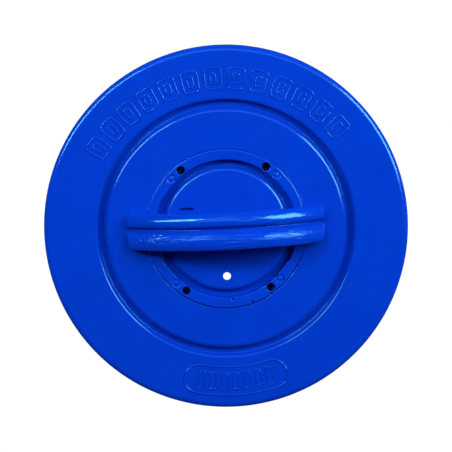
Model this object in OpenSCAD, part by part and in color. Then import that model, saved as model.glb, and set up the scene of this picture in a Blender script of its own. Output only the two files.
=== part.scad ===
// Pleated filter cartridge with cast end caps, an arched lifting handle and a slip-fit bottom opening.
// Millimetres. The origin is the centre of the bottom face, +Z runs up the axis to the handle,
// and the handle spans +X to -X. The vent hole is on the -Y side.

/* [Body] */
// Diameter of both end caps
cap_d = 216; // [212:1:230]
// Height from the bottom face to the top face, without the handle
body_h = 228; // [190:1:260]
// Thickness of each cast end cap
cap_t = 16; // [15:0.5:20]
// Rounding of the caps' outer edges
edge_r = 3; // [1:0.2:4]

/* [Top face] */
// Middle radius of the wide support groove that both caps carry
support_groove_r = 73.3; // [70:0.5:80]
// Width of the support groove
support_groove_w = 4.4; // [3:0.2:6]
// Depth of the grooves in the caps
groove_depth = 4; // [2.5:0.5:5]
// Radius of the centre disc, inside the inner groove
centre_disc_r = 36.4; // [35:0.1:37]
// Distance of the vent hole from the axis
vent_offset = 28; // [26:0.1:30]
// Diameter of the vent hole
vent_d = 4.7; // [3:0.1:6]

/* [Handle] */
// Length of the handle along X, over both ends
handle_len = 116; // [112:0.2:120]
// Width of the handle
handle_w = 21.5; // [21:0.1:24]
// How far the strap sits off the axis, away from the vent
strap_shift = 0.9; // [0:0.1:3]
// Height of the handle's top above the top face
handle_rise = 25; // [24:1:36]
// Radius of the handle's arched top
arch_r = 90; // [80:1:100]
// Thickness of the strap and its legs
strap_t = 8; // [7:0.5:10]
// How far the strap's groove sits off its middle, away from the vent
crown_groove_shift = 1.4; // [1:0.1:1.5]
// Inner radius of the handle's base ring
ring_in_r = 40.7; // [40.5:0.1:41.1]
// Outer radius of the handle's base ring
ring_out_r = 46.9; // [46.5:0.1:47.5]
// How far the base ring stands above the top face
ring_proud = 0.5; // [0.2:0.1:1]
// Diameter of the four screw wells in the base ring
well_d = 4.8; // [4.6:0.1:5]

/* [Core] */
// Radius of the bottom opening
bore_r = 38.1; // [36:0.1:38.4]
// Inner radius of the core tube
core_in_r = 38.6; // [38.5:0.1:39]
// Outer radius of the core tube
core_out_r = 42; // [41.8:0.1:42.2]
// Windows around each core section
windows_around = 12; // [8:2:14]
// Rows of windows in each core section
window_rows = 3; // [2:1:4]

/* [Pleats] */
// Number of pleats
pleats = 190; // [120:10:190]
// Thickness of the filter fabric
fabric_t = 0.5; // [0.3:0.05:0.5]
// Radius of the pleats' outer tips
pleat_out_r = 102.2; // [98:0.1:103]
// Width of each strap band
band_w = 12; // [8:1:20]
// Thickness of each strap band
band_t = 0.7; // [0.4:0.1:1]

/* [Hidden] */

$fn = 96;
cap_r = cap_d / 2;
cap_draft = 0.8;                // how much smaller in radius each cap is at its outer face
over = 1;                       // how far a cutter runs past what it cuts

// Heights
media_z0 = cap_t;
media_z1 = body_h - cap_t;
ring_t = 9.5;                   // depth of the base ring below the top face
ring_z0 = body_h - ring_t;
boss_h = 6;                     // height of the core's screw bosses
boss_z0 = ring_z0 - boss_h;
core_z0 = cap_t - 4;            // the core stands on a ledge in the bottom cap
section_h = (ring_z0 - core_z0) / 3;

// Radii
media_in_r = core_out_r + 0.3;
support_r0 = support_groove_r - support_groove_w / 2;
support_r1 = support_groove_r + support_groove_w / 2;

// Screws and wells
screw_circle_r = (ring_in_r + ring_out_r) / 2 - 0.3;
screw_angles = [55, 125, 235, 305];
mark_angles = [45, 135, 225, 315];
well_depth = 7;
head_d = 4.4;
head_h = 1.8;
shank_d = 2.2;
shank_clear_d = 2.8;
well_floor_z = body_h + ring_proud - well_depth;
screw_tip_z = boss_z0 + 0.5;
boss_d = 9;

// Core joints
spigot_h = 5;
spigot_out_r = (core_in_r + core_out_r) / 2;
joint_gap = 0.1;

// ---- Outline helpers ----

// Points of an arc of n steps from angle a0 to a1 about c
function arc_points(c, r, a0, a1, n) =
    [for (i = [0 : n]) c + r * [cos(a0 + (a1 - a0) * i / n), sin(a0 + (a1 - a0) * i / n)]];

// A corner given as [x, y, radius] between its neighbours p and q, as the points of its rounding
function round_corner(p, c, q, n) =
    let (v = [c[0], c[1]],
         u1 = ([p[0], p[1]] - v) / norm([p[0], p[1]] - v),
         u2 = ([q[0], q[1]] - v) / norm([q[0], q[1]] - v),
         half = acos(u1 * u2) / 2,
         mid = (u1 + u2) / norm(u1 + u2),
         centre = v + mid * c[2] / sin(half),
         s = v + u1 * c[2] / tan(half),
         e = v + u2 * c[2] / tan(half),
         a0 = atan2(s[1] - centre[1], s[0] - centre[0]),
         raw = atan2(e[1] - centre[1], e[0] - centre[0]) - a0,
         turn = raw > 180 ? raw - 360 : raw < -180 ? raw + 360 : raw)
    c[2] == 0 ? [v] : arc_points(centre, c[2], a0, a0 + turn, n);

// A closed outline of corners [x, y, radius], with each corner rounded to its own radius
function rounded(corners, n = 5) =
    let (m = len(corners))
    [for (i = [0 : m - 1])
        for (p = round_corner(corners[(i + m - 1) % m], corners[i], corners[(i + 1) % m], n)) p];

// A ring from radius r0 to r1 and height z0 to z1
module ring(r0, r1, z0, z1)
    translate([0, 0, z0])
        difference() {
            cylinder(h = z1 - z0, r = r1);
            translate([0, 0, -over]) cylinder(h = z1 - z0 + 2 * over, r = r0);
        }

// Corners of a groove cut down from height z between r0 and r1, walked inwards.
// A negative depth cuts it up into the bottom cap.
function groove_corners(r0, r1, z, depth) =
    [[r1, z, 0.6], [r1 - 0.4, z - depth, 0.8], [r0 + 0.4, z - depth, 0.8], [r0, z, 1.8]];

// ---- Top cap ----

// Outline of the top cap in radius and height
function top_cap_outline() = rounded(concat(
    [[0, media_z1, 0], [cap_r, media_z1, 0], [cap_r - cap_draft, body_h, edge_r]],
    groove_corners(support_r0, support_r1, body_h, groove_depth),
    groove_corners(centre_disc_r, ring_in_r, body_h, groove_depth),
    [[0, body_h, 0]]));

// A short sunk mark left by the casting, beside the handle
module casting_mark() {
    mark_pos = [-22.8, 12.6];
    mark_len = 6.6;
    mark_w = 1.8;
    mark_depth = 2.5;
    translate([mark_pos[0], mark_pos[1], body_h - mark_depth]) {
        translate([-mark_len / 2, -mark_w / 2, 0]) cube([mark_len, mark_w, mark_depth + over]);
        for (s = [-1, 1])
            translate([s * mark_len / 2, 0, 0]) cylinder(h = mark_depth + over, d = mark_w);
    }
}

// Vent hole, a thin web at the top face that flares out towards the core
module vent() {
    web = 1.2;
    flare_r = 8;
    flare_h = cap_t - web;
    vent_x = -0.6;
    translate([vent_x, -vent_offset, media_z1]) {
        cylinder(h = cap_t + over, d = vent_d);
        cylinder(h = flare_h, r1 = flare_r, r2 = vent_d / 2);
        translate([0, 0, -over]) cylinder(h = over, r = flare_r);
    }
}

module top_cap() {
    color("royalblue")
        difference() {
            rotate_extrude() polygon(top_cap_outline());
            handle_envelope();
            core_head(media_z1 - over);
            vent();
            casting_mark();
        }
}

// ---- Handle ----

half_len = handle_len / 2;
leg_in = half_len - strap_t;
leg_foot_z = ring_z0 + 2;
arch_z = body_h + handle_rise - arch_r;     // height of the arch's centre
pad_t = 4;                      // thickness of the buried pads under the legs
pad_out_r = half_len + 5.5;
pad_half_w = handle_w / 2 + 3;

// Height of a circle of radius r about the arch's centre, at distance x from the axis
function arch_height(r, x) = arch_z + sqrt(r * r - x * x);

// Side view of the strap and legs in x and z. Its outside is a roof that clears the crown and
// rounds off the two ends, and its inside is an arch.
function arch_side() =
    let (end_r = 3,
         inner_r = 6,
         n = 14,
         corner_z = arch_height(arch_r, half_len) - 0.15,
         arch_in_r = arch_r - strap_t,
         turn = acos(leg_in / arch_in_r),
         inner = arc_points([0, arch_z], arch_in_r, 180 - turn, turn, n))
    rounded(concat(
        [[half_len, leg_foot_z, 0], [half_len, corner_z, end_r], [0, corner_z + half_len, 0],
         [-half_len, corner_z, end_r], [-half_len, leg_foot_z, 0], [-leg_in, leg_foot_z, 0]],
        [for (i = [0 : n]) [inner[i][0], inner[i][1], i == 0 || i == n ? inner_r : 0]],
        [[leg_in, leg_foot_z, 0]]));

// Profile across the strap in radius and y, drawn with y running to -Y: two rails with broad round
// tops, and a groove between them that is steep on one side and gentle on the vent's side
function crown_profile() =
    let (w = handle_w / 2,
         g = -crown_groove_shift,
         floor_h = arch_r - 3.9,
         floor_half = 0.35,
         far_crest = [arch_r + 0.3, 3.7 - w, 7.6],
         near_crest = [arch_r + 1.7, w - 7.1, 8.2])
    rounded([
        [floor_h, g + floor_half, 0.3], near_crest, [arch_r - 1.2, w, 2], [arch_r / 3, w, 0],
        [arch_r / 3, -w, 0], [arch_r - 2.3, -w, 2], far_crest, [arch_r - 0.1, g - 1.85, 1],
        [floor_h, g - floor_half, 0.3]], 7);

// Plan view of the strap, which rounds its four corners and otherwise just clears it
function arch_plan() =
    let (clear = 0.05,
         x = half_len + clear,
         y = handle_w / 2 + clear,
         r = 4.5 + clear)
    rounded([[x, y, r], [-x, y, r], [-x, -y, r], [x, -y, r]]);

module handle_arch()
    translate([0, strap_shift, 0]) intersection() {
        rotate([90, 0, 0])
            translate([0, 0, -handle_w])
                linear_extrude(height = 2 * handle_w) polygon(arch_side());
        translate([0, 0, arch_z])
            rotate([90, 0, 0])
                rotate_extrude() polygon(crown_profile());
        translate([0, 0, leg_foot_z - over])
            linear_extrude(height = 2 * handle_rise) polygon(arch_plan());
    }

// The base ring, with its top edges rounded
module base_ring()
    rotate_extrude()
        polygon(rounded([
            [ring_in_r, ring_z0, 0], [ring_out_r, ring_z0, 0],
            [ring_out_r, body_h + ring_proud, 0.4], [ring_in_r, body_h + ring_proud, 0.4]]));

// Pads buried in the cap, which join the legs to the base ring
module leg_pads()
    intersection() {
        ring(ring_in_r + 2, pad_out_r, ring_z0, ring_z0 + pad_t);
        translate([-pad_out_r, strap_shift - pad_half_w, ring_z0])
            cube([2 * pad_out_r, 2 * pad_half_w, pad_t]);
    }

// All of the handle's outside, which is also the pocket it leaves in the cap
module handle_envelope() {
    base_ring();
    leg_pads();
    handle_arch();
}

// Stepped hole for one screw
module screw_well() {
    translate([0, 0, ring_z0 - over]) cylinder(h = ring_t, d = shank_clear_d);
    translate([0, 0, well_floor_z]) cylinder(h = well_depth + over, d = well_d);
}

// Shallow round ejector mark with a pip in its middle
module ejector_mark() {
    depth = 0.6;
    mark_r = 2.3;
    pip_r = 0.9;
    translate([0, 0, body_h + ring_proud - depth])
        difference() {
            cylinder(h = depth + over, r = mark_r);
            translate([0, 0, -over]) cylinder(h = 2 * over + depth, r = pip_r);
        }
}

// Step in the ring's inner edge to each side of the handle
module ring_relief() {
    relief = 0.9;
    depth = 2.5;
    span = 60;
    for (side = [0, 180])
        rotate([0, 0, side - span / 2])
            translate([0, 0, body_h - depth])
                rotate_extrude(angle = span)
                    translate([ring_in_r - over, 0])
                        square([over + relief, depth + ring_proud + over]);
}

module handle() {
    color("royalblue")
        difference() {
            handle_envelope();
            for (a = screw_angles)
                rotate([0, 0, a]) translate([screw_circle_r, 0, 0]) screw_well();
            for (a = mark_angles)
                rotate([0, 0, a]) translate([screw_circle_r, 0, 0]) ejector_mark();
            ring_relief();
        }
}

// Pan-head screw with a cross slot, standing on its well's floor
module screw() {
    slot_w = 0.7;
    slot_len = 2.8;
    slot_depth = 0.9;
    point_h = 1;
    point_d = 0.8;
    in_head = 0.5;              // how far the shank runs up into the head
    head_r = head_d / 2;
    difference() {
        union() {
            translate([0, 0, well_floor_z])
                rotate_extrude()
                    polygon(rounded([[0, 0, 0], [head_r, 0, 0], [head_r, head_h, 0.8], [0, head_h, 0]]));
            translate([0, 0, screw_tip_z + point_h])
                cylinder(h = well_floor_z + in_head - screw_tip_z - point_h, d = shank_d);
            translate([0, 0, screw_tip_z]) cylinder(h = point_h, d1 = point_d, d2 = shank_d);
        }
        for (a = [0, 90])
            rotate([0, 0, a])
                translate([-slot_len / 2, -slot_w / 2, well_floor_z + head_h - slot_depth])
                    cube([slot_len, slot_w, slot_depth + over]);
    }
}

module handle_screws()
    color("silver")
        for (a = screw_angles)
            rotate([0, 0, a]) translate([screw_circle_r, 0, 0]) screw();

// ---- Core ----

// Rows of windows through a core section between heights z0 and z1
module core_windows(z0, z1) {
    margin = 7;                 // solid wall at each end of the section
    bar_h = 5;                  // height of the bars between rows
    open_share = 0.6;           // share of the circumference that is open
    row_h = (z1 - z0 - 2 * margin) / window_rows;
    win_h = row_h - bar_h;
    win_w = open_share * 2 * PI * core_out_r / windows_around;
    for (row = [0 : window_rows - 1])
        for (i = [0 : windows_around / 2 - 1])
            rotate([0, 0, (i + 0.5) * 360 / windows_around])
                translate([-core_out_r - over, -win_w / 2, z0 + margin + row * row_h + bar_h / 2])
                    cube([2 * (core_out_r + over), win_w, win_h]);
}

// One section of the core tube, with a socket below or a spigot above where it joins another
module core_section(z0, h, socket, spigot) {
    z1 = z0 + h;
    socket_h = spigot_h + 0.2;
    difference() {
        ring(core_in_r, core_out_r, z0, z1);
        core_windows(z0, z1);
        if (socket)
            translate([0, 0, z0 - over])
                cylinder(h = socket_h + over, r = spigot_out_r + joint_gap);
    }
    if (spigot)
        ring(core_in_r, spigot_out_r, z1 - 1, z1 + spigot_h);
}

module core_lower() color("white") core_section(core_z0, section_h, false, true);

module core_middle() color("white") core_section(core_z0 + section_h, section_h, true, true);

// The core's top from height z0 up: a notched tube with four bosses, all buried in the top cap.
// The casting runs through the notches, which tie its middle to its rim.
module core_head(z0) {
    notch_w = 14;
    difference() {
        ring(core_in_r, core_out_r, z0, ring_z0);
        for (a = [-25, 0, 25, 90])
            rotate([0, 0, a])
                translate([-core_out_r - over, -notch_w / 2, boss_z0])
                    cube([2 * (core_out_r + over), notch_w, boss_h + over]);
    }
    for (a = screw_angles)
        rotate([0, 0, a])
            difference() {
                union() {
                    translate([screw_circle_r, 0, boss_z0]) cylinder(h = boss_h, d = boss_d);
                    translate([core_in_r, -boss_d / 2, boss_z0])
                        cube([screw_circle_r - core_in_r, boss_d, boss_h]);
                }
                translate([0, 0, boss_z0 - over]) cylinder(h = boss_h + 2 * over, r = core_in_r + 0.5);
            }
}

// The top section carries the bosses that the handle's screws bite into
module core_upper() {
    z0 = core_z0 + 2 * section_h;
    color("white")
        difference() {
            union() {
                core_section(z0, media_z1 - z0, true, false);
                core_head(media_z1 - over);
            }
            for (a = screw_angles)
                rotate([0, 0, a])
                    translate([screw_circle_r, 0, boss_z0 - over])
                        cylinder(h = boss_h + 2 * over, d = shank_d);
        }
}

// ---- Filter fabric and bands ----

// Corners of one surface of the pleated sheet: half widths of the outer and inner folds, and their radii
function pleat_loop(out_r, out_half, in_r, in_half) =
    let (step = 360 / pleats)
    [for (i = [0 : pleats - 1])
        let (a = i * step)
        for (p = [[out_r, -out_half, 0], [out_r, out_half, 0], [in_r, -in_half, 0.5], [in_r, in_half, 0.5]])
            let (mid = a + p[2] * step)
            p[0] * [cos(mid), sin(mid)] + p[1] * [-sin(mid), cos(mid)]];

module pleated_media() {
    h = fabric_t / 2;
    out_fold = 0.45;            // half width of the outer folds, to the fabric's middle
    in_fold = PI * media_in_r / pleats / 2;
    outer = pleat_loop(pleat_out_r, out_fold + h, media_in_r + fabric_t, in_fold - h);
    inner = pleat_loop(pleat_out_r - fabric_t, out_fold - h, media_in_r, in_fold + h);
    count = len(outer);
    color("ivory")
        translate([0, 0, media_z0])
            linear_extrude(height = media_z1 - media_z0)
                polygon(points = concat(outer, inner),
                        paths = [[for (i = [0 : count - 1]) i], [for (i = [0 : count - 1]) count + i]]);
}

// A strap round the pleats, its two ends lapped and welded
module band(z, lap_angle) {
    in_r = pleat_out_r + 0.15;
    lap_sweep = 13;
    translate([0, 0, z - band_w / 2]) {
        ring(in_r, in_r + band_t, 0, band_w);
        rotate([0, 0, lap_angle])
            rotate_extrude(angle = lap_sweep)
                translate([in_r + band_t / 2, 0]) square([band_t * 1.3, band_w]);
    }
}

module band_upper() color("white") band(media_z0 + (media_z1 - media_z0) * 2 / 3, 118);

module band_lower() color("white") band(media_z0 + (media_z1 - media_z0) / 3, 124);

// ---- Bottom cap ----

// Outline of the bottom cap in radius and height, walked from the bore outwards along the top
function bottom_cap_outline() = rounded(concat(
    [[bore_r, 0, 1.5], [bore_r, core_z0, 0], [core_out_r, core_z0, 0], [core_out_r, cap_t, 0],
     [cap_r, cap_t, 0], [cap_r - cap_draft, 0, edge_r]],
    groove_corners(support_r0, support_r1, 0, -groove_depth)));

module bottom_cap() color("royalblue") rotate_extrude() polygon(bottom_cap_outline());

top_cap();
handle();
handle_screws();
core_upper();
core_middle();
core_lower();
pleated_media();
band_upper();
band_lower();
bottom_cap();
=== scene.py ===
"""Looks of a pleated filter cartridge with cast blue end caps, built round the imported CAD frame."""
import math

import bmesh
import bpy
import numpy as np
from mathutils import Matrix, Vector


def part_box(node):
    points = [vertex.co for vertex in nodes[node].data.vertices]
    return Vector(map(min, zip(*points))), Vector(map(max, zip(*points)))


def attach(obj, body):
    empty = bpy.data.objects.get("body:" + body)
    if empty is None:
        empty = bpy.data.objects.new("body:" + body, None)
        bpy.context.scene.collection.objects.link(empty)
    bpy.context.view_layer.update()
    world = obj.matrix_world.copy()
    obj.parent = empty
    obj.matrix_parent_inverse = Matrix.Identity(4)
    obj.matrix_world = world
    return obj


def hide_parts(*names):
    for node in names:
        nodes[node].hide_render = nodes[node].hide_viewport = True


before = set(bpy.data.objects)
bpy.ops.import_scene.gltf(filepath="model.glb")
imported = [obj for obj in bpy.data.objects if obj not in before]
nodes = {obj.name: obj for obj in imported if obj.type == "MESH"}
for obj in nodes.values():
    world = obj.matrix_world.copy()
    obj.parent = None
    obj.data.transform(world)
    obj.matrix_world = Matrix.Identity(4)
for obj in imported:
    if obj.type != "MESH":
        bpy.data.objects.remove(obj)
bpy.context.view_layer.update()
MM = 0.001
RNG = np.random.default_rng(7)

# ---- Dimensions in millimetres, read from the CAD boxes where a box shows them ----


def box_mm(node):
    lo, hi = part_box(node)
    return [v / MM for v in lo], [v / MM for v in hi]


cap_lo, cap_hi = box_mm("top_cap")
base_top = box_mm("bottom_cap")[1][2]
media_lo, media_hi = box_mm("pleated_media")
handle_lo, handle_hi = box_mm("handle")
top_z = cap_hi[2]
cap_r = cap_hi[0]
media_r = media_hi[0]
ring_z0 = handle_lo[2]
pad_r = handle_hi[0]

CAP_DRAFT = 0.8
EDGE_R = 3.4
GROOVE_IN, GROOVE_OUT, GROOVE_DEPTH = 71.1, 75.5, 4.0
DISC_R = 36.4
RING_IN, RING_OUT = 40.7, handle_hi[1]
BORE_R = 38.1
CORE_OUT = 42.0
LEDGE_Z = 12.0
SEAM = 0.35                     # gap between the casting and the handle's base ring
EJECTOR_RING_R, EJECTOR_ANGLES = 43.5, (45, 135, 225, 315)
EJECTOR_R, EJECTOR_FACE_R = 1.9, 2.4
VENT_X, VENT_Y, VENT_R, VENT_WEB, VENT_FLARE = -0.6, -28.0, 2.35, 1.2, 8.0
SLOT_X, SLOT_Y, SLOT_HALF, SLOT_END_R, SLOT_DEPTH = -22.8, 12.6, 3.3, 0.9, 2.5
RAIL_SPLIT_Y = 2.3              # the strap's near rail lies below this
# Small blow holes, as angle in degrees, distance from the axis and size
RING_HOLES = [(-87.0, 41.9, 0.7), (-72.5, RING_OUT - 0.8, 0.75), (-58.0, RING_OUT - 0.8, 0.65),
              (-151.0, 45.6, 0.35)]
CAP_HOLES = [(-82.0, 38.6, 0.3), (128.0, 60.0, 0.25), (21.0, 64.0, 0.3), (-33.0, 57.0, 0.25)]
PLEATS = 190
FOLD_R, ROOT_HALF = 0.8, 0.32   # rounding of a pleat's outer fold, and half the width of its inner one
FLANKS = ((62.0, 0.55), (86.0, 0.70))   # along a pleat: distance from the axis and half its width there
FABRIC_HALF = 0.24              # half the fabric's thickness
FABRIC_SUNK = 0.8               # how far the fabric's ends are buried in the caps
TIP_INSET = 0.35                # how far the fabric's middle line stays inside the pleats' outer radius
STRAP_THICK, STRAP_GAP = 0.7, 0.22
LAP_SWEEP, LAP_RAMP = 13.0, 1.5     # a strap's lap and the slope at each of its ends, in degrees

# ---- Mesh helpers ----


def add_object(name, verts_mm, faces, smooth=True, uvs=None):
    """A mesh object from vertices in millimetres and faces given as arrays of equal-length rows."""
    mesh = bpy.data.meshes.new(name)
    verts = np.asarray(verts_mm, float) * MM
    groups = [np.asarray(f, np.int32) for f in faces if len(f)]
    loops = np.concatenate([g.ravel() for g in groups])
    sizes = np.concatenate([np.full(len(g), g.shape[1], np.int32) for g in groups])
    starts = np.concatenate([[0], np.cumsum(sizes)[:-1]]).astype(np.int32)
    mesh.vertices.add(len(verts))
    mesh.vertices.foreach_set("co", verts.astype(np.float32).ravel())
    mesh.loops.add(len(loops))
    mesh.loops.foreach_set("vertex_index", loops)
    mesh.polygons.add(len(sizes))
    mesh.polygons.foreach_set("loop_start", starts)
    mesh.polygons.foreach_set("use_smooth", np.full(len(sizes), smooth))
    if uvs is not None:
        layer = mesh.uv_layers.new(name="weave")
        layer.data.foreach_set("uv", np.asarray(uvs, np.float32)[loops].ravel())
    mesh.update(calc_edges=True)
    mesh.validate()
    obj = bpy.data.objects.new(name, mesh)
    bpy.context.scene.collection.objects.link(obj)
    return obj


def grid_faces(rows, cols, wrap_rows=False, wrap_cols=False):
    """Quads over a rows x cols grid of vertices, numbered row by row."""
    r = np.arange(rows if wrap_rows else rows - 1)
    c = np.arange(cols if wrap_cols else cols - 1)
    rr, cc = np.meshgrid(r, c, indexing="ij")
    r1, c1 = (rr + 1) % rows, (cc + 1) % cols
    return np.stack([rr * cols + cc, rr * cols + c1, r1 * cols + c1, r1 * cols + cc], -1).reshape(-1, 4)


def corner_points(p, c, q, radius, steps, support):
    """Points of the rounding of corner c between p and q, with a support point just outside each end."""
    p, c, q = (np.array(v, float) for v in (p, c, q))
    if radius == 0:
        return [c]
    u1, u2 = (p - c) / np.linalg.norm(p - c), (q - c) / np.linalg.norm(q - c)
    half = math.acos(np.clip(u1 @ u2, -1, 1)) / 2
    mid = (u1 + u2) / np.linalg.norm(u1 + u2)
    centre = c + mid * radius / math.sin(half)
    s, e = c + u1 * radius / math.tan(half), c + u2 * radius / math.tan(half)
    a0 = math.atan2(*(s - centre)[::-1])
    turn = (math.atan2(*(e - centre)[::-1]) - a0 + math.pi) % (2 * math.pi) - math.pi
    arc = [centre + radius * np.array([math.cos(a0 + turn * i / steps), math.sin(a0 + turn * i / steps)])
           for i in range(steps + 1)]
    return [s + u1 * support] + arc + [e + u2 * support]


def rounded(corners, steps=8, support=0.2):
    """A closed outline from corners (x, y, radius)."""
    out = []
    for i, (x, y, r) in enumerate(corners):
        p, q = corners[i - 1], corners[(i + 1) % len(corners)]
        out += corner_points(p[:2], (x, y), q[:2], r, steps, support)
    return np.array(out)


def lathe(name, outline, segments=720, wobble=None):
    """A solid turned from a closed outline in radius and height, with points on the axis merged."""
    angles = np.arange(segments) * 2 * math.pi / segments
    on_axis = outline[:, 0] < 1e-6
    verts, index = [], np.zeros((len(outline), segments), int)
    count = 0
    for i, (r, z) in enumerate(outline):
        if on_axis[i]:
            verts.append(np.array([[0, 0, z]]))
            index[i] = count
            count += 1
            continue
        rr, zz = np.full(segments, r), np.full(segments, z)
        if wobble:
            dr, dz = wobble(r, z, angles)
            rr, zz = rr + dr, zz + dz
        verts.append(np.stack([rr * np.cos(angles), rr * np.sin(angles), zz], 1))
        index[i] = count + np.arange(segments)
        count += segments
    quads, tris = [], []
    for i in range(len(outline)):
        j = (i + 1) % len(outline)
        a, b = index[i], index[j]
        a1, b1 = np.roll(a, -1), np.roll(b, -1)
        if on_axis[i] and on_axis[j]:
            continue
        if on_axis[i]:
            tris.append(np.stack([a, b1, b], 1))
        elif on_axis[j]:
            tris.append(np.stack([a, a1, b], 1))
        else:
            quads.append(np.stack([a, a1, b1, b], 1))
    faces = [np.concatenate(quads)] + ([np.concatenate(tris)] if tris else [])
    obj = add_object(name, np.concatenate(verts), faces)
    fix_normals(obj)
    return obj


def fix_normals(obj):
    bm = bmesh.new()
    bm.from_mesh(obj.data)
    bmesh.ops.recalc_face_normals(bm, faces=bm.faces)
    bm.to_mesh(obj.data)
    bm.free()


def tube(path_mm, radius, closed=True, sides=8, jitter=0.0):
    """Vertices and quads of a round bead along a path of 3-D points. An open bead's ends taper to a point."""
    path = np.asarray(path_mm, float)
    n = len(path)
    if closed:
        tangent = np.roll(path, -1, 0) - np.roll(path, 1, 0)
    else:
        tangent = np.gradient(path, axis=0)
    tangent /= np.linalg.norm(tangent, axis=1)[:, None]
    up = np.array([0, 0, 1.0])
    side = np.cross(tangent, up)
    side /= np.linalg.norm(side, axis=1)[:, None]
    upn = np.cross(side, tangent)
    r = np.full(n, radius) * (1 + jitter * RNG.standard_normal(n))
    if not closed:
        r[[0, -1]] = 0.02
    t = np.arange(sides) * 2 * math.pi / sides
    around = np.cos(t)[None, :, None] * side[:, None] + np.sin(t)[None, :, None] * upn[:, None]
    ring = path[:, None] + r[:, None, None] * around
    quads = grid_faces(n, sides, wrap_rows=closed, wrap_cols=True)
    return ring.reshape(-1, 3), quads


def join_parts(name, parts):
    """One object from several (vertices, quads) pairs."""
    verts, faces, base = [], [], 0
    for v, f in parts:
        verts.append(v)
        faces.append(f + base)
        base += len(v)
    return add_object(name, np.concatenate(verts), [np.concatenate(faces)])


def wave_field(points, wavelengths, seed):
    """Smooth random field, about -1 to 1, with its own wavelength along each axis."""
    count = 14
    rng = np.random.default_rng(seed)
    total = np.zeros(len(points))
    for _ in range(count):
        direction = rng.standard_normal(3)
        direction /= np.linalg.norm(direction)
        k = 2 * math.pi * direction / np.asarray(wavelengths) * rng.uniform(0.6, 1.4)
        total += np.sin(points @ k + rng.uniform(0, 2 * math.pi))
    return total / math.sqrt(count)


def polar(radius, angle_deg):
    """x and y of a point at a distance from the axis and an angle in degrees."""
    a = math.radians(angle_deg)
    return radius * math.cos(a), radius * math.sin(a)


def mesh_points(obj):
    co = np.zeros(len(obj.data.vertices) * 3, np.float32)
    obj.data.vertices.foreach_get("co", co)
    return co.reshape(-1, 3).astype(float) / MM


def set_points(obj, points_mm):
    obj.data.vertices.foreach_set("co", (points_mm * MM).astype(np.float32).ravel())
    obj.data.update()


def mesh_normals(obj):
    no = np.zeros(len(obj.data.vertices) * 3, np.float32)
    obj.data.vertices.foreach_get("normal", no)
    return no.reshape(-1, 3).astype(float)


def apply_modifiers(obj):
    dg = bpy.context.evaluated_depsgraph_get()
    mesh = bpy.data.meshes.new_from_object(obj.evaluated_get(dg))
    obj.modifiers.clear()
    obj.data = mesh


def cut(obj, cutters):
    """Takes the cutters out of obj and removes them."""
    for cutter in cutters:
        mod = obj.modifiers.new("cut", "BOOLEAN")
        mod.operation = "DIFFERENCE"
        mod.solver = "EXACT"
        mod.object = cutter
    apply_modifiers(obj)
    for cutter in cutters:
        bpy.data.objects.remove(cutter)


def shade(obj, angle=35):
    obj.data.polygons.foreach_set("use_smooth", np.ones(len(obj.data.polygons), bool))
    obj.data.set_sharp_from_angle(angle=math.radians(angle))


def prism(name, outline_xy, z0, z1):
    """A straight-sided solid over a convex outline in x and y."""
    n = len(outline_xy)
    low = np.column_stack([outline_xy, np.full(n, z0)])
    high = np.column_stack([outline_xy, np.full(n, z1)])
    sides = grid_faces(2, n, wrap_cols=True)
    caps = np.array([np.arange(n)[::-1], np.arange(n) + n])
    obj = add_object(name, np.concatenate([low, high]), [sides, caps], smooth=False)
    fix_normals(obj)
    return obj


# ---- Material helpers ----


class Nodes:
    """Short calls for building one material's node tree."""

    def __init__(self, name):
        self.material = bpy.data.materials.new(name)
        self.material.use_nodes = True
        self.tree = self.material.node_tree
        self.bsdf = self.tree.nodes["Principled BSDF"]
        self.output = self.tree.nodes["Material Output"]

    def add(self, kind, **values):
        node = self.tree.nodes.new(kind)
        for key, value in values.items():
            if hasattr(node, key):
                setattr(node, key, value)
            else:
                node.inputs[key.replace("_", " ")].default_value = value
        return node

    def link(self, a, b):
        self.tree.links.new(a, b)

    def position(self, scale=(1, 1, 1)):
        """Position in metres, scaled by axis."""
        geometry = self.add("ShaderNodeTexCoord")
        mapping = self.add("ShaderNodeMapping")
        mapping.inputs["Scale"].default_value = scale
        self.link(geometry.outputs["Object"], mapping.inputs["Vector"])
        return mapping.outputs["Vector"]

    def noise(self, scale, detail=3.0, roughness=0.5, where=None, distortion=0.0):
        node = self.add("ShaderNodeTexNoise", Scale=scale, Detail=detail, Roughness=roughness,
                        Distortion=distortion)
        self.link(where or self.position(), node.inputs["Vector"])
        return node.outputs["Fac"]

    def ramp(self, value, low, high, at=(0.0, 1.0)):
        node = self.add("ShaderNodeMapRange")
        node.inputs["From Min"].default_value = at[0]
        node.inputs["From Max"].default_value = at[1]
        node.inputs["To Min"].default_value = low
        node.inputs["To Max"].default_value = high
        self.link(value, node.inputs["Value"])
        return node.outputs["Result"]

    def mix(self, factor, a, b):
        node = self.add("ShaderNodeMix", data_type="RGBA")
        for value, socket in ((factor, node.inputs[0]), (a, node.inputs[6]), (b, node.inputs[7])):
            if isinstance(value, (tuple, float, int)):
                socket.default_value = value
            else:
                self.link(value, socket)
        return node.outputs[2]

    def math(self, operation, a, b=None):
        node = self.add("ShaderNodeMath", operation=operation)
        for value, socket in ((a, node.inputs[0]), (b, node.inputs[1])):
            if value is None:
                continue
            if isinstance(value, (float, int)):
                socket.default_value = value
            else:
                self.link(value, socket)
        return node.outputs[0]

    def bump(self, height, distance_mm, strength=1.0, after=None):
        node = self.add("ShaderNodeBump")
        node.inputs["Strength"].default_value = strength
        node.inputs["Distance"].default_value = distance_mm * MM
        self.link(height, node.inputs["Height"])
        if after is not None:
            self.link(after, node.inputs["Normal"])
        return node.outputs["Normal"]


def rgb(r, g, b):
    return (r, g, b, 1.0)


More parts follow.
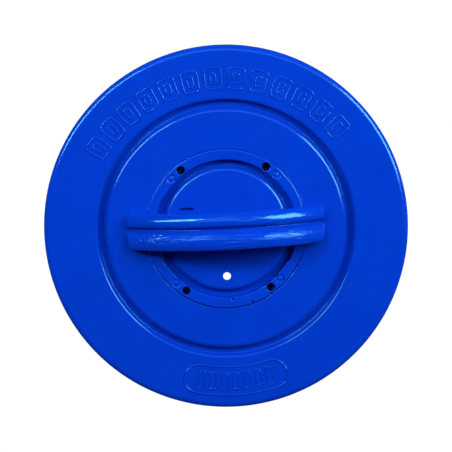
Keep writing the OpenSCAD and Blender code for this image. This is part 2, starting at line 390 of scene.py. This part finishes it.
def groove_painted_shade(n):
    """1 on the floors of the top face's grooves and 0 elsewhere: where the base colour gets painted shade."""
    where = n.position()
    split = n.add("ShaderNodeSeparateXYZ")
    n.link(where, split.inputs[0])
    flat = n.add("ShaderNodeVectorMath", operation="LENGTH")
    n.link(n.position((1, 1, 0)), flat.inputs[0])
    sunk = n.ramp(split.outputs[2], 1.0, 0.0, ((top_z - 2.6) * MM, (top_z - 0.6) * MM))
    near_top = n.math("GREATER_THAN", split.outputs[2], (top_z - 6.0) * MM)
    inside = n.math("LESS_THAN", flat.outputs["Value"], (GROOVE_OUT + 1.0) * MM)
    return n.math("MULTIPLY", n.math("MULTIPLY", sunk, near_top), inside)


def urethane(name, ripple, ripple_mm, rough, dull_below=None):
    """Glossy cast plastic: deep blue, soft waves and fine pores. South of dull_below, in mm, it is duller."""
    n = Nodes(name)
    cloudy = n.noise(45, 4, 0.6)
    fine = n.noise(420, 3, 0.6)
    blue = n.mix(n.ramp(cloudy, 0, 1, (0.3, 0.7)), rgb(0.0006, 0.0415, 0.585), rgb(0.0008, 0.0480, 0.640))
    # Painted shade: the grooves' floors are mixed 14 % of the way towards dark navy.
    blue = n.mix(n.math("MULTIPLY", groove_painted_shade(n), 0.14), blue, rgb(0.0, 0.004, 0.10))
    n.link(blue, n.bsdf.inputs["Base Color"])
    polish = n.ramp(fine, rough - 0.05, rough + 0.08, (0.3, 0.7))
    if dull_below is not None:
        split = n.add("ShaderNodeSeparateXYZ")
        n.link(n.position(), split.inputs[0])
        dull = n.ramp(split.outputs[1], 1.0, 0.0, ((dull_below - 0.5) * MM, (dull_below + 0.5) * MM))
        drawn = n.ramp(n.noise(330, 2, 0.5, n.position((0.10, 1.6, 1.0))), 0.10, 0.85, (0.40, 0.62))
        n.link(n.ramp(n.math("MULTIPLY", dull, n.math("SUBTRACT", 1.0, drawn)), 0.5, 0.05),
               n.bsdf.inputs["Specular IOR Level"])
        polish = n.math("ADD", polish, n.math("MULTIPLY", dull, 0.08))
    n.link(polish, n.bsdf.inputs["Roughness"])
    n.bsdf.inputs["IOR"].default_value = 1.65
    n.bsdf.inputs["Specular Tint"].default_value = rgb(0.20, 0.84, 1.0)
    waves = n.bump(n.noise(160, 3, 0.55, n.position(ripple), 0.4), ripple_mm)
    pores = n.add("ShaderNodeTexVoronoi", Scale=260.0)
    n.link(n.position(), pores.inputs["Vector"])
    pits = n.ramp(pores.outputs["Distance"], -1.0, 0.0, (0.0, 0.12))
    normal = n.bump(pits, 0.03, 0.6, waves)
    normal = n.bump(fine, 0.004, 1.0, normal)
    n.link(normal, n.bsdf.inputs["Normal"])
    return n.material


def steel(name):
    """Screw heads in painted shade: a dark navy base for the shade and the walls' painted blue reflection at
    the bottoms of deep wells, with a few bright spots as painted glints.
    """
    n = Nodes(name)
    # Painted glints: bright blue-white spots on a base of painted shade.
    painted_glints = n.ramp(n.noise(850, 2), 0, 1, (0.54, 0.66))
    n.link(n.mix(painted_glints, rgb(0.008, 0.012, 0.035), rgb(0.55, 0.66, 0.85)), n.bsdf.inputs["Base Color"])
    n.bsdf.inputs["Metallic"].default_value = 1.0
    n.link(n.ramp(n.noise(1500, 2), 0.20, 0.38), n.bsdf.inputs["Roughness"])
    n.link(n.bump(n.noise(700, 2), 0.12), n.bsdf.inputs["Normal"])
    return n.material


def white_plastic(name):
    n = Nodes(name)
    n.link(n.mix(n.noise(30, 4), rgb(0.74, 0.75, 0.75), rgb(0.83, 0.84, 0.83)), n.bsdf.inputs["Base Color"])
    n.link(n.ramp(n.noise(300, 3), 0.38, 0.52), n.bsdf.inputs["Roughness"])
    n.link(n.bump(n.noise(700, 3), 0.02), n.bsdf.inputs["Normal"])
    n.bsdf.inputs["Subsurface Weight"].default_value = 0.05
    return n.material


def fibre_fabric(name):
    """Spun-bonded polyester: pressed crossing fibres and small bonded dimples."""
    n = Nodes(name)
    tangle = n.noise(900, 6, 0.7, n.position((1, 1, 0.45)), 1.2)
    cross = n.noise(1300, 5, 0.7, n.position((1, 1, 0.3)), 2.0)
    dapple = n.noise(60, 4, 0.6)
    shade_mix = n.ramp(n.math("ADD", n.math("MULTIPLY", tangle, 0.7), n.math("MULTIPLY", dapple, 0.5)),
                       0, 1, (0.4, 0.8))
    n.link(n.mix(shade_mix, rgb(0.70, 0.72, 0.72), rgb(0.86, 0.87, 0.86)), n.bsdf.inputs["Base Color"])
    n.bsdf.inputs["Roughness"].default_value = 0.85
    n.bsdf.inputs["Sheen Weight"].default_value = 0.25
    n.bsdf.inputs["Sheen Roughness"].default_value = 0.4
    bonds = n.add("ShaderNodeTexVoronoi", Scale=1100.0)
    n.link(n.position(), bonds.inputs["Vector"])
    normal = n.bump(tangle, 0.12)
    normal = n.bump(cross, 0.07, 0.8, normal)
    normal = n.bump(bonds.outputs["Distance"], 0.05, 0.5, normal)
    n.link(normal, n.bsdf.inputs["Normal"])
    return n.material


def woven_strap(name):
    """Plain weave of flat white yarns, laid out by the strap's own length and width in millimetres."""
    n = Nodes(name)
    uv = n.add("ShaderNodeUVMap", uv_map="weave")
    split = n.add("ShaderNodeSeparateXYZ")
    n.link(uv.outputs["UV"], split.inputs[0])
    pitch = 0.9
    u = n.math("MULTIPLY", split.outputs[0], math.pi / pitch)
    v = n.math("MULTIPLY", split.outputs[1], math.pi / pitch)
    warp = n.math("ABSOLUTE", n.math("SINE", u))
    weft = n.math("ABSOLUTE", n.math("SINE", v))
    over = n.math("MULTIPLY", n.math("SINE", u), n.math("SINE", v))
    top = n.math("GREATER_THAN", over, 0.0)
    under = n.math("SUBTRACT", 1.0, top)
    height = n.math("ADD", n.math("MULTIPLY", top, warp), n.math("MULTIPLY", under, weft))
    fuzz = n.noise(2200, 4, 0.6)
    mixed = n.math("ADD", n.math("MULTIPLY", height, 0.6), n.math("MULTIPLY", fuzz, 0.5))
    # Painted shade: the colour darkens towards the yarns' edges, where they dip under each other, mixed with
    # random fuzz tone.
    weave_shade_and_fuzz = n.ramp(mixed, 0, 1, (0.2, 0.9))
    n.link(n.mix(weave_shade_and_fuzz, rgb(0.50, 0.51, 0.50), rgb(0.84, 0.85, 0.83)), n.bsdf.inputs["Base Color"])
    n.bsdf.inputs["Roughness"].default_value = 0.7
    normal = n.bump(height, 0.25)
    normal = n.bump(fuzz, 0.08, 0.7, normal)
    n.link(normal, n.bsdf.inputs["Normal"])
    return n.material


CAP_BLUE = urethane("cap_urethane", (1, 1, 1), 0.010, 0.13)
HANDLE_BLUE = urethane("handle_moulding_blue", (0.22, 1.6, 1.6), 0.05, 0.12, dull_below=RAIL_SPLIT_Y)
STEEL = steel("screw_steel")
WHITE = white_plastic("core_plastic")
FABRIC = fibre_fabric("spun_polyester")
STRAP = woven_strap("woven_strap_white")


def finish_piece(obj, material, slot, *replaced):
    obj.data.materials.clear()
    obj.data.materials.append(material)
    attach(obj, "root")
    if replaced:
        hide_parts(*replaced)
    return obj


# ---- Caps ----


def support_groove(z, depth):
    """Corners of the support groove, walked inwards. A negative depth cuts up into the bottom cap."""
    return [(GROOVE_OUT + 0.2, z, 1.6), (GROOVE_OUT - 0.4, z - depth, 0.8),
            (GROOVE_IN + 0.6, z - depth, 0.6), (GROOVE_IN - 0.2, z, 2.8)]


def cast_wobble(r, z, angles):
    """Small unevenness of a casting's turned edges."""
    near = abs(z - top_z) < 4 or z < 4
    amount = 0.025 if near and r < GROOVE_OUT + 1 else 0.01
    waves = np.sin(5 * angles + r) + 0.7 * np.sin(11 * angles + 2.3 * r) + 0.5 * np.sin(23 * angles + z)
    return amount * waves, np.zeros_like(waves)


top_outline = rounded([
    (0, cap_lo[2], 0), (cap_r, cap_lo[2], 0.5), (cap_r - CAP_DRAFT, top_z, EDGE_R),
    *support_groove(top_z, GROOVE_DEPTH),
    (RING_OUT + SEAM, top_z, 0.45), (RING_OUT + SEAM, ring_z0, 0), (RING_IN, ring_z0, 0),
    (RING_IN, top_z - GROOVE_DEPTH, 0.3), (DISC_R + 0.6, top_z - GROOVE_DEPTH, 0.6),
    (DISC_R - 0.1, top_z, 2.6), (0, top_z, 0)])
top_cap = lathe("top_cap_casting", top_outline, wobble=cast_wobble)


def turned_cutter(name, outline, x, y, segments=64):
    obj = lathe(name, np.array(outline, float), segments)
    points = mesh_points(obj)
    set_points(obj, points + np.array([x, y, 0]))
    return obj


vent = turned_cutter("cut_vent", [
    (0, cap_lo[2] - 1), (VENT_FLARE, cap_lo[2] - 1), (VENT_FLARE, cap_lo[2]),
    (VENT_R, top_z - VENT_WEB), (VENT_R, top_z + 1), (0, top_z + 1)], VENT_X, VENT_Y)

end_turn = np.linspace(-math.pi / 2, math.pi / 2, 9)
end_x, end_y = SLOT_HALF + SLOT_END_R * np.cos(end_turn), SLOT_END_R * np.sin(end_turn)
slot_outline = np.concatenate([np.stack([SLOT_X + end_x, SLOT_Y + end_y], 1),
                               np.stack([SLOT_X - end_x, SLOT_Y - end_y], 1)])
slot = prism("cut_slot", slot_outline, top_z - SLOT_DEPTH, top_z + 1)


def blow_hole(name, angle, radius, size):
    turn = np.linspace(0.3, math.pi / 2, 5)
    bowl = [(0, top_z - size)] + [(size * math.sin(t), top_z - size * math.cos(t)) for t in turn]
    return turned_cutter(name, bowl + [(size, top_z + 0.5), (0, top_z + 0.5)], *polar(radius, angle), 16)


holes = [blow_hole(f"cut_hole_{i}", *hole) for i, hole in enumerate(CAP_HOLES)]
cut(top_cap, [vent, slot] + holes)
shade(top_cap)
finish_piece(top_cap, CAP_BLUE, "cap", "top_cap")

base_outline = rounded([
    (BORE_R, 0, 1.5), (BORE_R, LEDGE_Z, 0), (CORE_OUT, LEDGE_Z, 0), (CORE_OUT, base_top, 0),
    (cap_r, base_top, 0.5), (cap_r - CAP_DRAFT, 0, EDGE_R), *support_groove(0, -GROOVE_DEPTH)])
bottom_cap = lathe("bottom_cap_casting", base_outline, wobble=cast_wobble)
shade(bottom_cap)
finish_piece(bottom_cap, CAP_BLUE, "cap", "bottom_cap")

# ---- Handle ----


def ripples(points):
    """Height of the moulding's ripples: drawn out along the strap, and stronger on its near rail."""
    lift = np.clip((points[:, 2] - top_z - 2) / 6, 0, 1)
    long_wave = wave_field(points, (14, 1.9, 4), 3)
    drawn = wave_field(points, (5, 0.9, 2), 5)
    rough = wave_field(points, (2.2, 1.4, 1.4), 8)
    patch = np.clip(0.6 + wave_field(points, (30, 14, 20), 13), 0.2, 1.3)
    patch = np.where(points[:, 1] < 2, 0.8 + 1.5 * patch, patch)
    return lift * patch * (0.034 * long_wave + 0.020 * drawn + 0.010 * rough)


def ring_marks(points):
    """Drop of the base ring's face at each point: ejector marks with a rough middle, and blow holes."""
    def off(radius, angle):
        x, y = polar(radius, angle)
        return np.hypot(points[:, 0] - x, points[:, 1] - y)

    drop = np.zeros(len(points))
    speckle = wave_field(points, (0.9, 0.9, 0.9), 21)
    for angle in EJECTOR_ANGLES:
        away = off(EJECTOR_RING_R, angle)
        drop += 0.5 * np.exp(-((away - EJECTOR_R) / 0.45) ** 2)
        drop -= np.where(away < EJECTOR_FACE_R, 0.16 * speckle, 0.0)
    for angle, radius, size in RING_HOLES:
        drop += 2.4 * size * np.exp(-(off(radius, angle) / size) ** 4)
    return np.where(abs(points[:, 2] - top_z) < 1.0, drop, 0.0)


def handle_moulding():
    """The CAD handle, resampled evenly so that its arch is smooth, with ripples and marks."""
    obj = bpy.data.objects.new("handle_moulding", nodes["handle"].data.copy())
    bpy.context.scene.collection.objects.link(obj)
    remesh = obj.modifiers.new("even", "REMESH")
    remesh.mode = "VOXEL"
    remesh.voxel_size = 0.35 * MM
    apply_modifiers(obj)
    height = mesh_points(obj)[:, 2] - top_z
    arch = obj.vertex_groups.new(name="arch")
    arch.add(np.flatnonzero(height > 0.9).tolist(), 1.0, "REPLACE")
    soften = obj.modifiers.new("soften", "SMOOTH")
    soften.factor = 0.5
    soften.iterations = 10
    soften.vertex_group = "arch"
    apply_modifiers(obj)
    points = mesh_points(obj)
    moved = points + mesh_normals(obj) * ripples(points)[:, None]
    moved[:, 2] -= ring_marks(points)
    set_points(obj, moved)
    obj.data.polygons.foreach_set("use_smooth", np.ones(len(obj.data.polygons), bool))
    return obj


finish_piece(handle_moulding(), HANDLE_BLUE, "handle", "handle")

# ---- Fine details on the top face ----


def arc_path(radius, a0, a1, z, step_mm=0.5):
    """Points of an arc about the axis between two angles in degrees."""
    count = max(4, int(abs(math.radians(a1 - a0)) * radius / step_mm))
    t = np.radians(np.linspace(a0, a1, count))
    return np.column_stack([radius * np.cos(t), radius * np.sin(t), np.full(count, z)])


def polar_path(outline, radius, angle, z):
    """A flat outline in millimetres, bent round the axis: x runs clockwise along the arc, y outwards."""
    points_per_mm = 2.0
    pts = []
    for p, q in zip(outline, np.roll(outline, -1, 0)):
        count = max(1, int(np.linalg.norm(q - p) * points_per_mm))
        pts += [p + (q - p) * i / count for i in range(count)]
    pts = np.array(pts)
    a = math.radians(angle) - pts[:, 0] / radius
    r = radius + pts[:, 1]
    return np.column_stack([r * np.cos(a), r * np.sin(a), np.full(len(pts), z)])


def rounded_box(w, h, r):
    return rounded([(w / 2, h / 2, r), (-w / 2, h / 2, r), (-w / 2, -h / 2, r), (w / 2, -h / 2, r)], 5, 0.0)


BEAD_R, FINE_BEAD_R = 0.55, 0.44
BLOCKS, BLOCKS_FROM, BLOCKS_TO, BLOCKS_R = 13, 145.0, 40.0, 88.0
BARS, BAR_STEP, PILL_R, PILL_ANGLE = 7, 4.3, 91.0, -88.7
# Width, height and corner radius
BLOCK, BLOCK_MIDDLE = (9.4, 12.4, 2.0), (3.4, 6.2, 1.2)
PILL, BAR = (62.0, 17.0, 8.4), (3.6, 10.0, 1.2)


def raised_outline(box, radius, angle, bead, proud):
    """A bead round a box bent along the rim, standing proud of the face."""
    path = polar_path(rounded_box(*box), radius, angle, top_z - bead + proud)
    return tube(path, bead, sides=24)


def raised_marks():
    """Plain outlined blocks along the rim, and a pill-shaped frame with plain bars."""
    parts = []
    for angle in np.linspace(BLOCKS_FROM, BLOCKS_TO, BLOCKS):
        parts.append(raised_outline(BLOCK, BLOCKS_R, angle, BEAD_R, 0.44))
        parts.append(raised_outline(BLOCK_MIDDLE, BLOCKS_R, angle, FINE_BEAD_R, 0.44))
    parts.append(raised_outline(PILL, PILL_R, PILL_ANGLE, BEAD_R, 0.48))
    for i in range(BARS):
        angle = PILL_ANGLE + (i - (BARS - 1) / 2) * BAR_STEP
        parts.append(raised_outline(BAR, PILL_R, angle, FINE_BEAD_R, 0.40))
    return join_parts("raised_rim_marks", parts)


finish_piece(raised_marks(), CAP_BLUE, "cap")


# Flash along the seam and on the disc's foot: from and to, in degrees, and the bead's radius
SEAM_SPANS = [(12, 62, 0.26), (62, 118, 0.17), (118, 172, 0.28), (195, 208, 0.26), (338, 352, 0.15)]
DISC_SPANS = [(12, 60, 0.10), (120, 165, 0.10)]
SEAM_FLASH_R, DISC_FLASH_R = RING_OUT + 0.24, DISC_R + 1.3


def seam_flash():
    """Ragged flash where the casting closed round the handle's base ring, and a finer line inside it."""
    parts = []
    for a0, a1, size in SEAM_SPANS:
        path = arc_path(SEAM_FLASH_R, a0, a1, top_z - 0.12, 0.35)
        knots = np.arange(0, len(path) + 3, 3)
        bend = np.interp(np.arange(len(path)), knots, RNG.standard_normal(len(knots)))
        path[:, :2] *= (1 + 0.01467 * size * bend)[:, None]
        path[:, 2] += 0.02 + size / 3 * RNG.standard_normal(len(path))
        parts.append(tube(path, size, closed=False, sides=6, jitter=0.35))
    for a0, a1, size in DISC_SPANS:
        path = arc_path(DISC_FLASH_R, a0, a1, top_z - GROOVE_DEPTH + 1.15, 0.4)
        path[:, 2] += 0.10 * RNG.standard_normal(len(path))
        parts.append(tube(path, size, closed=False, sides=6, jitter=0.5))
    return join_parts("seam_flash", parts)


finish_piece(seam_flash(), CAP_BLUE, "cap")


PAD_ANGLES = (1.8, 178.2)
PAD_SPANS = [(-12.5, -8.5), (-7.8, -2.0), (-1.2, 4.4), (5.6, 11.8)]   # degrees either side of a pad's angle


def witness_lines():
    """Faint lines in the plate over the edges of the handle's buried pads."""
    parts = []
    for middle in PAD_ANGLES:
        for a0, a1 in PAD_SPANS:
            path = arc_path(pad_r + 0.3, middle + a0, middle + a1, top_z - 0.03)
            parts.append(tube(path, 0.11, closed=False, sides=6))
    return join_parts("pad_witness_lines", parts)


finish_piece(witness_lines(), CAP_BLUE, "cap")

# ---- Pleats ----


def fold_loop(levels):
    """The folded sheet's middle line at each level, as radius and angle, for every pleat in turn."""
    step = 2 * math.pi / PLEATS
    root = CORE_OUT + 1.0
    outer_arc = [-math.pi / 2 + math.pi * i / 8 for i in range(9)]
    lean = 0.35 * RNG.standard_normal((3, PLEATS))
    reach = 0.22 * np.abs(RNG.standard_normal((3, PLEATS)))
    rows = []
    for z in levels:
        t = (z - levels[0]) / (levels[-1] - levels[0])
        free = min(1.0, 6 * t, 6 * (1 - t)) ** 0.5 if 0 < t < 1 else 0.0
        aside = lean[0] * np.sin(math.pi * t) + 0.7 * lean[1] * np.sin(2 * math.pi * t)
        aside = (aside + 0.4 * lean[2] * np.sin(5 * t)) * free
        short = reach[0] * np.sin(math.pi * t) + reach[1] * (0.5 + 0.5 * np.sin(7 * t + lean[1] * 9)) * free
        tips = media_r - TIP_INSET - FOLD_R - short
        row = []
        for i, (tip, here, ahead) in enumerate(zip(tips, aside, np.roll(aside, -1))):
            centre = i * step
            for turn in outer_arc:
                rho = tip + FOLD_R * math.cos(turn)
                row.append((rho, centre + (FOLD_R * math.sin(turn) + here) / rho))
            for rho, half in FLANKS[::-1]:
                row.append((rho, centre + (half + here * 0.5) / rho))
            for part in (-1.0, -0.5, 0.0, 0.5, 1.0):
                rho = root + ROOT_HALF * part ** 2
                row.append((rho, centre + step / 2 + ROOT_HALF * part / rho))
            for rho, half in FLANKS:
                row.append((rho, centre + step + (-half + ahead * 0.5) / rho))
        rows.append(row)
    return np.array(rows)


def pleated_fabric():
    """A sheet of even thickness laid along the folds, closed at its top and bottom edges."""
    levels = np.linspace(media_lo[2] - FABRIC_SUNK, media_hi[2] + FABRIC_SUNK, 30)
    loop = fold_loop(levels)
    middle = loop[..., :1] * np.stack([np.cos(loop[..., 1]), np.sin(loop[..., 1])], -1)
    along = np.roll(middle, -1, 1) - np.roll(middle, 1, 1)
    along /= np.linalg.norm(along, axis=2)[..., None]
    normal = np.stack([along[..., 1], -along[..., 0]], -1)
    rows, cols = middle.shape[:2]
    height = np.broadcast_to(levels[:, None, None], (rows, cols, 1))
    out = np.concatenate([middle + FABRIC_HALF * normal, height], -1).reshape(-1, 3)
    inn = np.concatenate([middle - FABRIC_HALF * normal, height], -1).reshape(-1, 3)
    faces = grid_faces(rows, cols, wrap_cols=True)
    shift = rows * cols
    c = np.arange(cols)
    c1 = (c + 1) % cols
    top, top1 = c + shift - cols, c1 + shift - cols
    low = np.stack([c, shift + c, shift + c1, c1], 1)
    high = np.stack([top, top1, shift + top1, shift + top], 1)
    return add_object("filter_fabric", np.concatenate([out, inn]), [faces, faces[:, ::-1] + shift, low, high])


finish_piece(pleated_fabric(), FABRIC, "media", "pleated_media")

# ---- Straps ----


def strap(name, node, lap_angle):
    """A woven strap drawn tight over the pleats, with one end lapped over the other and welded."""
    lo, hi = box_mm(node)
    z0, width = lo[2], hi[2] - lo[2]
    sweep, ramp, start = (math.radians(a) for a in (LAP_SWEEP, LAP_RAMP, lap_angle))
    whole = 2 * math.pi
    turn = np.linspace(0, whole + sweep, int(PLEATS * 8 * (1 + LAP_SWEEP / 360)))
    over = np.clip((turn - whole + ramp) / ramp, 0, 1)
    under = np.clip((sweep - turn) / ramp + 1, 0, 1)
    rise = over * over * (3 - 2 * over)
    sag = 0.07 * np.cos(PLEATS * (turn + start))
    inner = media_r + STRAP_GAP + sag * (1 - rise) + rise * (STRAP_THICK * 0.62)
    half = STRAP_THICK * 0.5 * (1 - 0.42 * over - 0.42 * under)
    edge = 0.35
    heights = [0.0, edge * 0.3, edge, width * 0.25, width * 0.5, width * 0.75,
               width - edge, width - edge * 0.3, width]
    puff = [0.35, 0.8, 1.0, 0.95, 0.92, 0.95, 1.0, 0.8, 0.35]
    outside = [(1, h, p) for h, p in zip(heights, puff)]
    inside = [(-1, h, p) for h, p in zip(heights[::-1], puff[::-1])]
    rows, uv = [], []
    for side, h, p in outside + inside:
        r = inner + half + side * half * p
        level = np.full(len(turn), z0 + h)
        rows.append(np.stack([r * np.cos(turn + start), r * np.sin(turn + start), level], 1))
        uv.append(np.stack([turn * media_r, np.full(len(turn), h + (0 if side == 1 else 20))], 1))
    ring = np.stack(rows, 1)
    n, m = ring.shape[:2]
    faces = grid_faces(n, m, wrap_cols=True)
    ends = np.array([np.arange(m), (n - 1) * m + np.arange(m)[::-1]])
    obj = add_object(name, ring.reshape(-1, 3), [faces, ends], uvs=np.stack(uv, 1).reshape(-1, 2))
    fix_normals(obj)
    shade(obj, 50)
    return obj


finish_piece(strap("strap_upper", "band_upper", 118), STRAP, "band", "band_upper")
finish_piece(strap("strap_lower", "band_lower", 124), STRAP, "band", "band_lower")

# ---- CAD nodes that stay ----

CAD_LOOKS = {"handle_screws": STEEL, "core_upper": WHITE, "core_middle": WHITE, "core_lower": WHITE}
for node, material in CAD_LOOKS.items():
    for material_slot in nodes[node].material_slots:
        material_slot.material = material

# ---- Stage: pale floor, the post the cartridge slips over, lights and camera ----

BACKDROP = rgb(0.86, 0.87, 0.88)
FLOOR_FADE = (0.35, 0.95)       # metres from the axis over which the floor turns into the backdrop


def pale_floor():
    """Matte and pale. It fades into the backdrop far out, and is plain white from nearly straight above."""
    n = Nodes("pale_floor")
    n.link(n.mix(n.noise(3, 3), rgb(0.80, 0.80, 0.80), rgb(0.84, 0.84, 0.84)), n.bsdf.inputs["Base Color"])
    n.bsdf.inputs["Roughness"].default_value = 0.7
    path = n.add("ShaderNodeLightPath")
    geometry = n.add("ShaderNodeNewGeometry")
    split = n.add("ShaderNodeSeparateXYZ")
    n.link(geometry.outputs["Incoming"], split.inputs[0])
    steep = n.ramp(split.outputs[2], 0.0, 1.0, (0.80, 0.92))
    reach = n.add("ShaderNodeVectorMath", operation="LENGTH")
    n.link(geometry.outputs["Position"], reach.inputs[0])
    far = n.ramp(reach.outputs["Value"], 0.0, 1.0, FLOOR_FADE)
    surface = n.bsdf.outputs[0]
    for factor, colour in ((far, BACKDROP), (steep, rgb(1.02, 1.02, 1.02))):
        glow = n.add("ShaderNodeEmission")
        glow.inputs["Color"].default_value = colour
        mixer = n.add("ShaderNodeMixShader")
        n.link(n.math("MULTIPLY", factor, path.outputs["Is Camera Ray"]), mixer.inputs[0])
        n.link(surface, mixer.inputs[1])
        n.link(glow.outputs[0], mixer.inputs[2])
        surface = mixer.outputs[0]
    n.link(surface, n.output.inputs["Surface"])
    return n.material


FLOOR_SPAN, FLOOR_Z = 6000.0, -0.2
POST_R, POST_LOW, POST_TOP = BORE_R - 1.6, -0.1, 200
floor_corners = [(x * FLOOR_SPAN, y * FLOOR_SPAN, FLOOR_Z) for x, y in ((-1, -1), (1, -1), (1, 1), (-1, 1))]
floor = add_object("floor", floor_corners, [[(0, 1, 2, 3)]], smooth=False)
post_outline = rounded([(0, POST_LOW, 0), (POST_R, POST_LOW, 0), (POST_R, POST_TOP, 2), (0, POST_TOP, 0)])
post = lathe("floor_post", post_outline, 96)
floor_material = pale_floor()
for obj in (floor, post):
    obj.data.materials.append(floor_material)
    obj.visible_glossy = False

VIEW_TURN = math.radians(-2.5)  # the cartridge stands turned a little against the view
RIGHT = np.array([math.cos(VIEW_TURN), math.sin(VIEW_TURN), 0])
NORTH = np.array([-math.sin(VIEW_TURN), math.cos(VIEW_TURN), 0])
UP = np.array([0, 0, 1.0])
FACE = np.array([0, 0, top_z * MM])
VIEW_FROM = Vector(0.079 * NORTH + 0.750 * UP)  # the camera's place, in metres from the top face


def aim(obj, target):
    direction = Vector(target) - obj.location
    obj.rotation_mode = "QUATERNION"
    obj.rotation_quaternion = direction.to_track_quat("-Z", "Y")


def softbox(name, place, size, power, target=FACE):
    """A soft area light at a place given to the right, north and up of the top face, in metres."""
    data = bpy.data.lights.new(name, "AREA")
    data.shape = "RECTANGLE"
    data.size, data.size_y = size
    data.energy = power
    obj = bpy.data.objects.new(name, data)
    bpy.context.scene.collection.objects.link(obj)
    obj.location = Vector(FACE + place[0] * RIGHT + place[1] * NORTH + place[2] * UP)
    aim(obj, target)
    return obj


def level_with_handle(obj):
    """Turns a light about its own axis until its long side runs along the handle as nearly as it can."""
    back = obj.rotation_quaternion @ Vector((0, 0, 1))
    side = Vector(RIGHT) - back * back.dot(Vector(RIGHT))
    side.normalize()
    obj.rotation_quaternion = Matrix((side, back.cross(side), back)).transposed().to_quaternion()


strip = softbox("strip_left", (-0.70, 0.47, 0.82), (0.82, 0.20), 7.5)
level_with_handle(strip)
softbox("strip_left_fill", (-0.40, 0.72, 0.83), (0.60, 0.50), 1.6).visible_glossy = False
softbox("softbox_right", (0.94, 0.49, 0.82), (0.68, 0.72), 16.1)
softbox("softbox_north", (0.05, 0.54, 1.00), (0.9, 0.62), 1.6)
for i, angle in enumerate((225, 315, 30, 135)):
    a = math.radians(angle)
    low = softbox(f"side_fill_{i}", (1.1 * math.cos(a), 1.1 * math.sin(a), -0.12), (0.9, 0.2), 1.6,
                  target=(0, 0, 0.09))
    low.visible_glossy = False


def studio_world():
    """The backdrop for the camera, and for all else a weak glow that fades upwards from the horizon."""
    world = bpy.data.worlds.new("studio")
    world.use_nodes = True
    tree = world.node_tree
    tree.nodes.clear()
    out = tree.nodes.new("ShaderNodeOutputWorld")
    seen = tree.nodes.new("ShaderNodeBackground")
    seen.inputs["Color"].default_value = BACKDROP
    lit = tree.nodes.new("ShaderNodeBackground")
    coord = tree.nodes.new("ShaderNodeTexCoord")
    split = tree.nodes.new("ShaderNodeSeparateXYZ")
    fall = tree.nodes.new("ShaderNodeMapRange")
    fall.interpolation_type = "SMOOTHSTEP"
    for name, value in (("From Min", 0.05), ("From Max", 0.45), ("To Min", 0.07), ("To Max", 0.004)):
        fall.inputs[name].default_value = value
    path = tree.nodes.new("ShaderNodeLightPath")
    mixer = tree.nodes.new("ShaderNodeMixShader")
    tint = tree.nodes.new("ShaderNodeMix")
    tint.data_type = "RGBA"
    tint.inputs[6].default_value = rgb(0.95, 0.98, 1.0)
    tint.inputs[7].default_value = rgb(0.12, 0.62, 1.0)
    link = tree.links.new
    link(path.outputs["Is Glossy Ray"], tint.inputs[0])
    link(tint.outputs[2], lit.inputs["Color"])
    link(coord.outputs["Generated"], split.inputs[0])
    link(split.outputs[2], fall.inputs["Value"])
    link(fall.outputs["Result"], lit.inputs["Strength"])
    link(path.outputs["Is Camera Ray"], mixer.inputs[0])
    link(lit.outputs[0], mixer.inputs[1])
    link(seen.outputs[0], mixer.inputs[2])
    link(mixer.outputs[0], out.inputs["Surface"])
    bpy.context.scene.world = world


studio_world()

camera_data = bpy.data.cameras.new("camera")
camera_data.lens, camera_data.sensor_width = 102.25, 36.0
camera_data.shift_y = 0.0066
camera_data.clip_start, camera_data.clip_end = 0.01, 50
camera = bpy.data.objects.new("camera", camera_data)
bpy.context.scene.collection.objects.link(camera)
back, right = VIEW_FROM.normalized(), Vector(RIGHT)
axes = Matrix((right, back.cross(right), back)).transposed()
camera.matrix_world = Matrix.Translation(Vector(FACE) + VIEW_FROM) @ axes.to_4x4()
bpy.context.scene.camera = camera

scene = bpy.context.scene
scene.view_settings.view_transform = "Standard"
scene.view_settings.look = "None"
scene.view_settings.exposure = 0.0
scene.view_settings.gamma = 1.0
